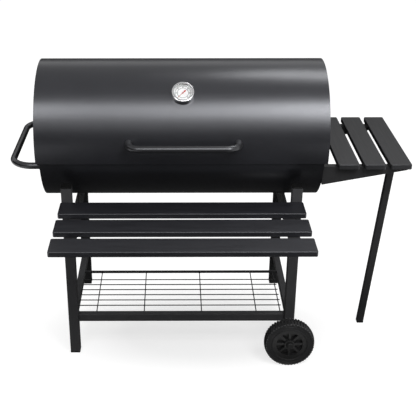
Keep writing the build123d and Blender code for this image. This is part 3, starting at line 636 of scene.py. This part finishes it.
def add_floor():
    """A wide pale floor, with a painted shadow: its glow is lower round a middle under the grill."""
    size = FLOOR_HALF_SIZE
    floor = add_stage_mesh("floor", [(-size, -size, 0), (size, -size, 0), (size, size, 0), (-size, size, 0)])
    material, tree, shader = new_finish("floor_white")
    mottle = noise(tree, object_coordinates(tree), scale=3)
    tree.links.new(two_tone(tree, mottle, FLOOR_DARK, FLOOR_LIGHT), shader.inputs["Base Color"])
    shader.inputs["Roughness"].default_value = 0.9
    shader.inputs["Specular IOR Level"].default_value = 0
    shader.inputs["Emission Color"].default_value = (1, 1, 1, 1)
    about_shade = object_coordinates(tree, scale=(1, SHADE_SQUEEZE_Y, 1),
                                     shift=(-SHADE_MIDDLE_X, -SHADE_SQUEEZE_Y * SHADE_MIDDLE_Y, 0))
    reach = tree.nodes.new("ShaderNodeVectorMath")
    reach.operation = "LENGTH"
    tree.links.new(about_shade, reach.inputs[0])
    # painted shadow: the glow rises from the middle under the grill outwards
    paler = spread(tree, reach.outputs["Value"], FLOOR_NEAR_GLOW, FLOOR_FAR_GLOW, FLOOR_NEAR, FLOOR_FAR)
    glow = tree.nodes.new("ShaderNodeMath")
    glow.operation = "MULTIPLY"
    tree.links.new(seen_directly(tree), glow.inputs[0])
    tree.links.new(paler, glow.inputs[1])
    tree.links.new(glow.outputs[0], shader.inputs["Emission Strength"])
    floor.data.materials.append(material)


# Lamps, placed on arcs about the barrel's axis
BARREL_AXIS_HEIGHT = 0.804
barrel_low, barrel_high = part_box("lid_shell")
BARREL_MIDDLE = Vector(((barrel_low.x + barrel_high.x) / 2, (barrel_low.y + barrel_high.y) / 2,
                        BARREL_AXIS_HEIGHT))
LAMPS = (
    {"name": "front_softbox", "elevation": 46, "distance": 3.2, "along": 0.45, "aim": 0.0,
     "width": 1.7, "height": 1.25, "watts": 36},
    {"name": "left_softbox", "elevation": 46, "distance": 3.2, "along": -1.1, "aim": -0.3,
     "width": 0.8, "height": 1.25, "watts": 22},
    {"name": "right_softbox", "elevation": 44, "distance": 3.0, "along": 1.3, "aim": 0.4,
     "width": 1.0, "height": 1.55, "watts": 41},
    {"name": "rear_softbox", "elevation": 109, "distance": 2.6, "along": 0.95, "aim": 0.4,
     "width": 1.3, "height": 0.75, "watts": 18},
)


def on_arc(elevation, distance, along):
    """A point about the barrel's axis: 0 degrees is the front horizon, 90 overhead, 180 the rear."""
    angle = radians(elevation)
    return BARREL_MIDDLE + Vector((along, -distance * cos(angle), distance * sin(angle)))


def add_lamp(name, elevation, distance, along, aim, width, height, watts):
    """A soft rectangular lamp that looks at a point on the barrel's axis."""
    data = bpy.data.lights.new(name, "AREA")
    data.shape = "RECTANGLE"
    data.size = width
    data.size_y = height
    data.energy = watts
    lamp = bpy.data.objects.new(name, data)
    lamp.location = on_arc(elevation, distance, along)
    sight = BARREL_MIDDLE + Vector((aim, 0, 0)) - lamp.location
    lamp.rotation_euler = sight.to_track_quat("-Z", "Y").to_euler()
    scene.collection.objects.link(lamp)


# Flags: black and grey cards round the grill that only reflections see, against glare; the cards on the floor
# under and before the grill are painted shade, the grill's shadow on the floor as reflections see it
FLAG_LIFT = 0.002
STUDIO_HALF_WIDTH = 5
STUDIO_FRONT = -4.6
STUDIO_REAR = 4.0
UNDER_HALF_WIDTH = 0.95
UNDER_REAR = 1.6
# Painted shade seen only in reflections: the dim cards on the floor under and before the grill, with a paler one
# before the wheel, stand for the grill's shadow on the floor.
UNDER_SHADE = 0.06
WHEEL_LEFT = 0.2
WHEEL_RIGHT = 0.4
WHEEL_FRONT = -0.46
WHEEL_REAR = -0.28
WHEEL_SHADE = 0.75
FRONT_TOP = 2.1
FRONT_SHADE = 0.12
REAR_TOP = 2.3
REAR_SHADE = 0.04
ROOF_HEIGHT = 4.5
ROOF_FRONT = -2.2
ROOF_REAR = 5.5
ROOF_SHADE = 0.48
LEFT_SIDE = -3.2
BLACK = 0.0


def add_flag(name, corners, shade):
    """A card of one even shade, as a photographer sets one against glare."""
    flag = add_stage_mesh(name, corners)
    material, tree, shader = new_finish(name)
    cloth = noise(tree, object_coordinates(tree), scale=40)
    tree.links.new(two_tone(tree, cloth, dark=(0, 0, 0), light=(0.004, 0.004, 0.004)), shader.inputs["Base Color"])
    shader.inputs["Roughness"].default_value = 1
    shader.inputs["Specular IOR Level"].default_value = 0
    shader.inputs["Emission Color"].default_value = (1, 1, 1, 1)
    shader.inputs["Emission Strength"].default_value = shade
    flag.data.materials.append(material)
    flag.visible_camera = False
    flag.visible_diffuse = False
    flag.visible_transmission = False
    flag.visible_shadow = False


def add_level_flag(name, left, right, front, rear, height, shade):
    """A card that lies level."""
    add_flag(name, [(left, front, height), (right, front, height), (right, rear, height), (left, rear, height)],
             shade)


def add_upright_flag(name, start, end, top, shade):
    """A card that stands on the floor between two points."""
    add_flag(name, [(*start, 0), (*end, 0), (*end, top), (*start, top)], shade)


def add_flags():
    """Painted shade cards under the grill with a paler one before the wheel, then cards behind, in front, overhead
    and at the left.
    """
    # painted shade: the grill's shadow on the floor, for reflections only
    add_level_flag("floor_flag_left", -UNDER_HALF_WIDTH, WHEEL_LEFT, STUDIO_FRONT, UNDER_REAR, FLAG_LIFT,
                   UNDER_SHADE)
    add_level_flag("floor_flag_right", WHEEL_RIGHT, UNDER_HALF_WIDTH, STUDIO_FRONT, UNDER_REAR, FLAG_LIFT,
                   UNDER_SHADE)
    add_level_flag("floor_flag_rear", WHEEL_LEFT, WHEEL_RIGHT, WHEEL_REAR, UNDER_REAR, FLAG_LIFT, UNDER_SHADE)
    add_level_flag("floor_flag_front", WHEEL_LEFT, WHEEL_RIGHT, STUDIO_FRONT, WHEEL_FRONT, FLAG_LIFT, UNDER_SHADE)
    add_level_flag("wheel_card", WHEEL_LEFT, WHEEL_RIGHT, WHEEL_FRONT, WHEEL_REAR, FLAG_LIFT, WHEEL_SHADE)
    add_level_flag("floor_flag_back", -STUDIO_HALF_WIDTH, STUDIO_HALF_WIDTH, UNDER_REAR, STUDIO_REAR, FLAG_LIFT,
                   BLACK)
    add_upright_flag("front_flag", (-STUDIO_HALF_WIDTH, STUDIO_FRONT), (STUDIO_HALF_WIDTH, STUDIO_FRONT),
                     FRONT_TOP, FRONT_SHADE)
    add_upright_flag("rear_flag", (-STUDIO_HALF_WIDTH, STUDIO_REAR), (STUDIO_HALF_WIDTH, STUDIO_REAR),
                     REAR_TOP, REAR_SHADE)
    add_level_flag("roof_flag", -STUDIO_HALF_WIDTH, STUDIO_HALF_WIDTH, ROOF_FRONT, ROOF_REAR, ROOF_HEIGHT,
                   ROOF_SHADE)
    add_upright_flag("left_flag", (LEFT_SIDE, UNDER_REAR), (LEFT_SIDE, STUDIO_FRONT), FRONT_TOP, BLACK)


add_camera()
dress_nodes()
add_dial_print()
add_tyre_ribs()
add_welds()
add_world()
add_floor()
for lamp_sizes in LAMPS:
    add_lamp(**lamp_sizes)
add_flags()
